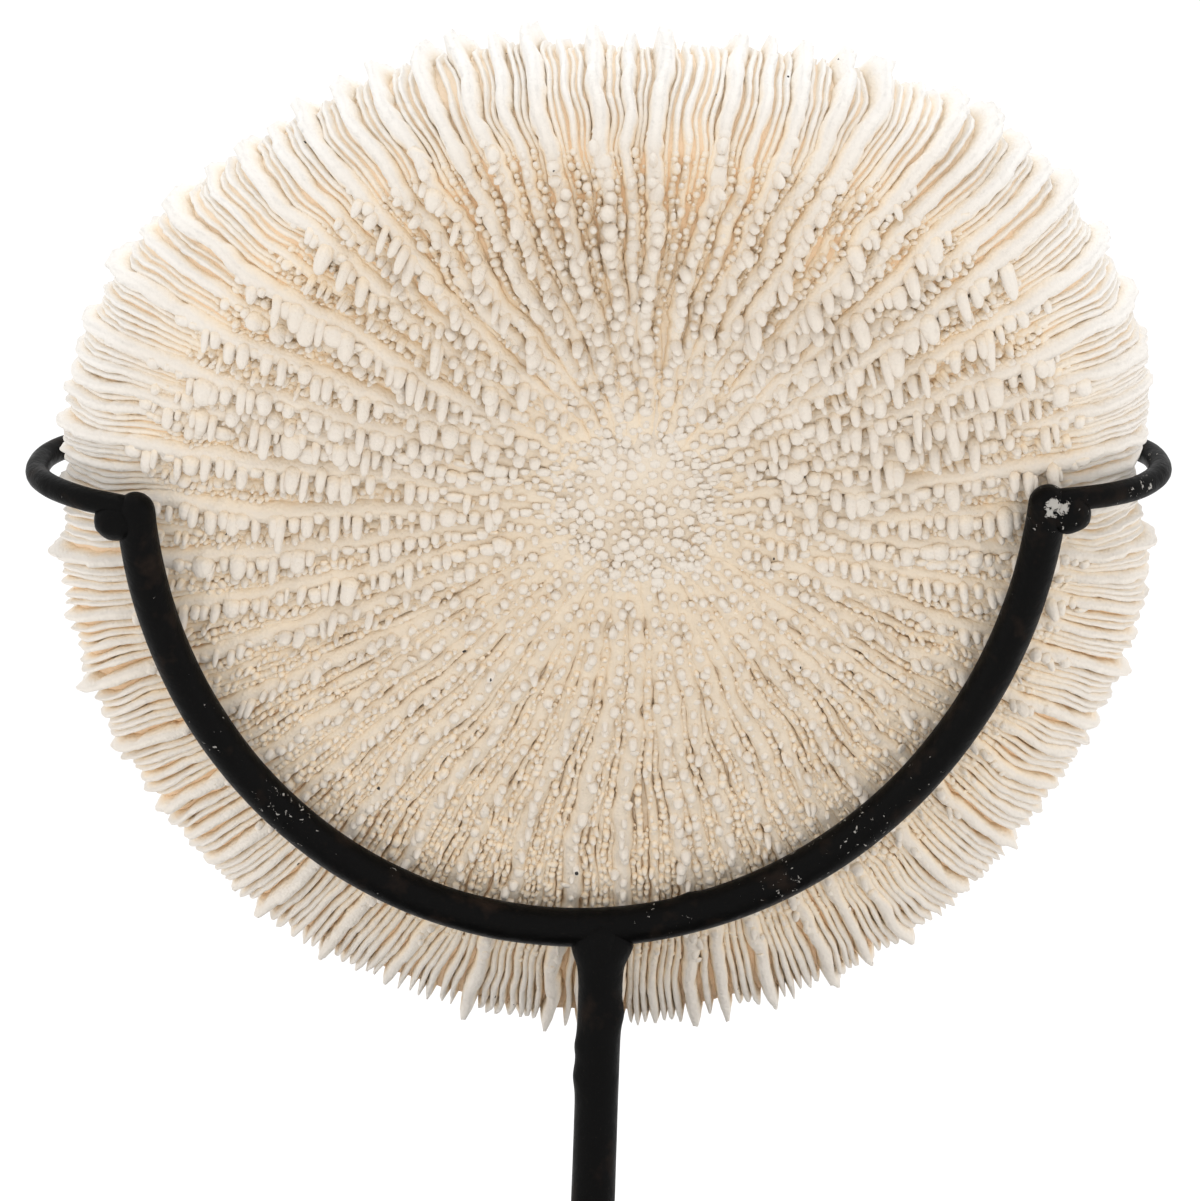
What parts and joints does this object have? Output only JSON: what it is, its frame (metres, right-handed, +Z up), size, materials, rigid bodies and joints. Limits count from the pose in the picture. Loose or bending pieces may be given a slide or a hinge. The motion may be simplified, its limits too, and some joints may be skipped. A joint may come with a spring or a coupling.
{
  "type": "mushroom coral on a rod stand",
  "caption": "A white disc-shaped mushroom coral resting in the hooked cradle of a black iron rod stand, with its spiny underside to the back",
  "frame": {"origin": "middle of the underside of the base plate, on the ground", "axes": "+Z up; the coral's underside and the back of the stand face -Y, and the coral's top side with its mouth faces +Y and up; +X is to the right when looking along +Y"},
  "size_m": [0.1552, 0.0961, 0.2055],
  "materials": {
    "stand_paint": "satin",
    "coral_skeleton": "matte"
  },
  "bodies": {
    "root": {"base_plate": "stand_paint", "base_weld": "stand_paint", "post": "stand_paint", "post_weld": "stand_paint", "cradle": "stand_paint", "left_hook": "stand_paint", "left_weld": "stand_paint", "right_hook": "stand_paint", "right_weld": "stand_paint", "coral": "coral_skeleton"}
  },
  "joints": []
}
